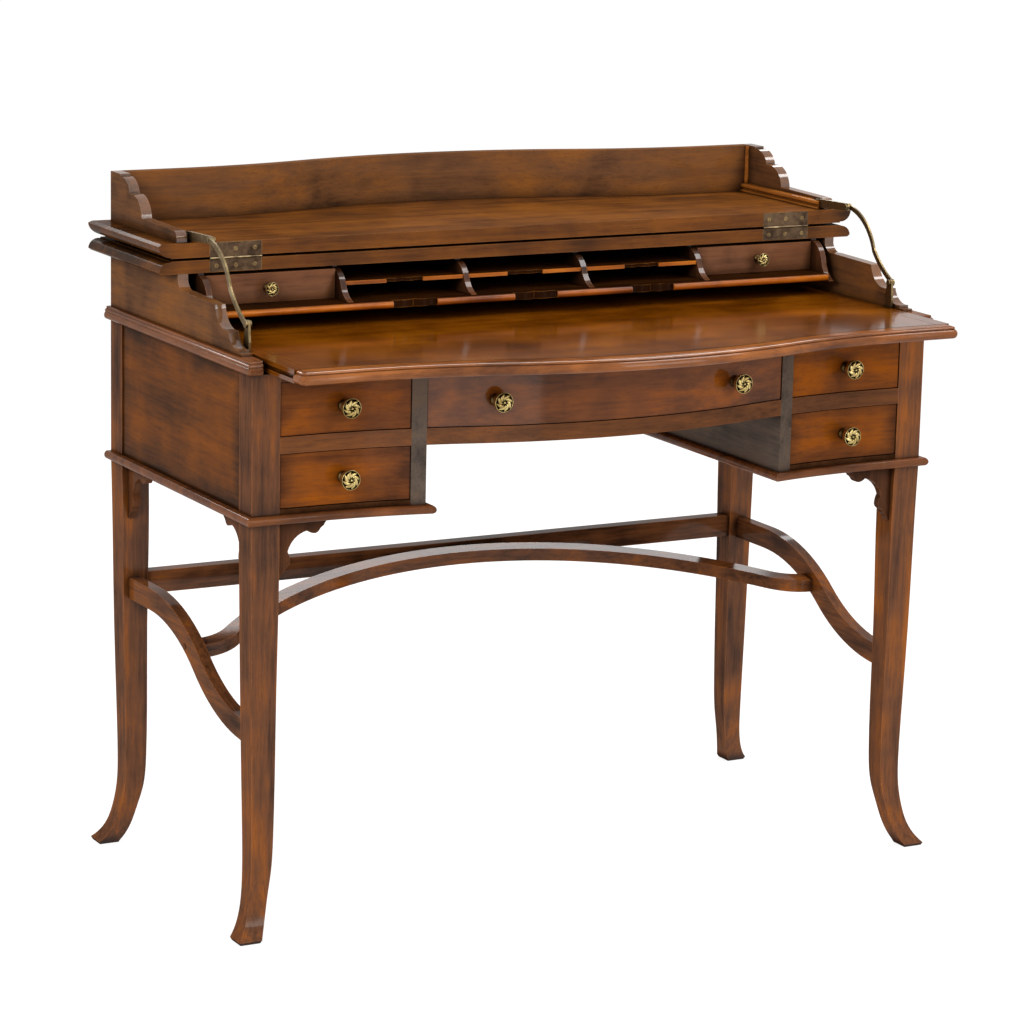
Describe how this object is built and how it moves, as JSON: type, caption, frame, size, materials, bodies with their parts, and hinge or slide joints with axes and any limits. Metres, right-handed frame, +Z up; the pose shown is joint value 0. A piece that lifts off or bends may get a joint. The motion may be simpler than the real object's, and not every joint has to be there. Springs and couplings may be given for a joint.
{
  "type": "bonheur du jour",
  "caption": "Lady's writing desk on sabre legs with a serpentine front, drawers round a kneehole and a fold-over top whose brass stays drive a writing slide.",
  "frame": {"origin": "on the floor under the middle of the open desk's overall length and depth", "axes": "+X to the sitter's right along the desk, +Y to the back, +Z up"},
  "size_m": [1.066, 0.701, 0.94],
  "materials": {
    "mahogany": "French-polished mahogany, worn to orange on its edges",
    "writing_board": "golden, sun-faded polished mahogany",
    "drawer_lining": "plain unpolished drawer timber",
    "inner_timber": "stained secondary timber",
    "brass": "darkened, handled brass"
  },
  "bodies": {
    "case": {"leg_rear_right": "mahogany", "leg_rear_left": "mahogany", "leg_front_right": "mahogany", "leg_front_left": "mahogany", "side_panels": "mahogany", "back_panels": "inner_timber", "inner_sides": "mahogany", "pedestal_bases": "mahogany", "pedestal_bottoms": "mahogany", "front_rails": "mahogany", "slide_bearers": "inner_timber", "drawer_runners": "inner_timber", "corner_brackets": "mahogany", "side_stretchers": "mahogany", "cross_stretcher": "mahogany", "stretcher_pegs": "mahogany", "back_stretcher": "mahogany", "top_mouldings": "mahogany", "lower_gallery_right": "mahogany", "lower_gallery_left": "mahogany", "upper_back": "mahogany", "top_leaf": "mahogany", "hinge_plates_lower": "brass", "unit_uprights": "mahogany", "unit_bottom": "mahogany", "unit_shelves": "mahogany"},
    "flap": {"flap_leaf": "mahogany", "flap_gallery_back": "mahogany", "flap_gallery_left": "mahogany", "flap_gallery_right": "mahogany", "flap_beads": "mahogany", "hinge_plates_upper": "brass", "stay_brackets": "brass"},
    "writing_slide": {"slide_board": "writing_board", "slide_cleats": "writing_board", "slide_nosing": "mahogany", "stay_feet": "brass"},
    "stay_left": {"stay_left": "brass"},
    "stay_right": {"stay_right": "brass"},
    "upper_drawer_left": {"upper_drawer_left_front": "mahogany", "upper_drawer_left_box": "drawer_lining", "upper_drawer_left_knob": "brass"},
    "lower_drawer_left": {"lower_drawer_left_front": "mahogany", "lower_drawer_left_box": "drawer_lining", "lower_drawer_left_knob": "brass"},
    "upper_drawer_right": {"upper_drawer_right_front": "mahogany", "upper_drawer_right_box": "drawer_lining", "upper_drawer_right_knob": "brass"},
    "lower_drawer_right": {"lower_drawer_right_front": "mahogany", "lower_drawer_right_box": "drawer_lining", "lower_drawer_right_knob": "brass"},
    "centre_drawer": {"centre_drawer_front": "mahogany", "centre_drawer_box": "drawer_lining", "centre_drawer_knobs": "brass"},
    "small_drawer_left": {"small_drawer_left_front": "mahogany", "small_drawer_left_box": "drawer_lining", "small_drawer_left_knob": "brass"},
    "small_drawer_right": {"small_drawer_right_front": "mahogany", "small_drawer_right_box": "drawer_lining", "small_drawer_right_knob": "brass"}
  },
  "joints": [
    {"name": "flap_hinge", "type": "hinge", "parent": "case", "child": "flap", "pos_m": [0, 0.05051, 0.8512], "axis": [1, 0, 0], "range_deg": [0, 180]},
    {"name": "slide_run", "type": "slide", "parent": "case", "child": "writing_slide", "axis": [0, 1, 0], "range_m": [0, 0.09402]},
    {"name": "stay_left_pivot", "type": "hinge", "parent": "flap", "child": "stay_left", "pos_m": [-0.48925, -0.01129, 0.8845], "axis": [1, 0, 0], "range_deg": [-208.98, 0]},
    {"name": "stay_right_pivot", "type": "hinge", "parent": "flap", "child": "stay_right", "pos_m": [0.48925, -0.01129, 0.8845], "axis": [1, 0, 0], "range_deg": [-208.98, 0]},
    {"name": "upper_drawer_left_run", "type": "slide", "parent": "case", "child": "upper_drawer_left", "axis": [0, -1, 0], "range_m": [0, 0.26]},
    {"name": "lower_drawer_left_run", "type": "slide", "parent": "case", "child": "lower_drawer_left", "axis": [0, -1, 0], "range_m": [0, 0.26]},
    {"name": "upper_drawer_right_run", "type": "slide", "parent": "case", "child": "upper_drawer_right", "axis": [0, -1, 0], "range_m": [0, 0.26]},
    {"name": "lower_drawer_right_run", "type": "slide", "parent": "case", "child": "lower_drawer_right", "axis": [0, -1, 0], "range_m": [0, 0.26]},
    {"name": "centre_drawer_run", "type": "slide", "parent": "case", "child": "centre_drawer", "axis": [0, -1, 0], "range_m": [0, 0.26]},
    {"name": "small_drawer_left_run", "type": "slide", "parent": "case", "child": "small_drawer_left", "axis": [0, -1, 0], "range_m": [0, 0.11]},
    {"name": "small_drawer_right_run", "type": "slide", "parent": "case", "child": "small_drawer_right", "axis": [0, -1, 0], "range_m": [0, 0.11]}
  ],
  "couplings": [
    {"joint": "slide_run", "follows": "flap_hinge", "m_per_rad": 0.029927},
    {"joint": "stay_left_pivot", "follows": "flap_hinge", "ratio": -1.161},
    {"joint": "stay_right_pivot", "follows": "flap_hinge", "ratio": -1.161}
  ]
}
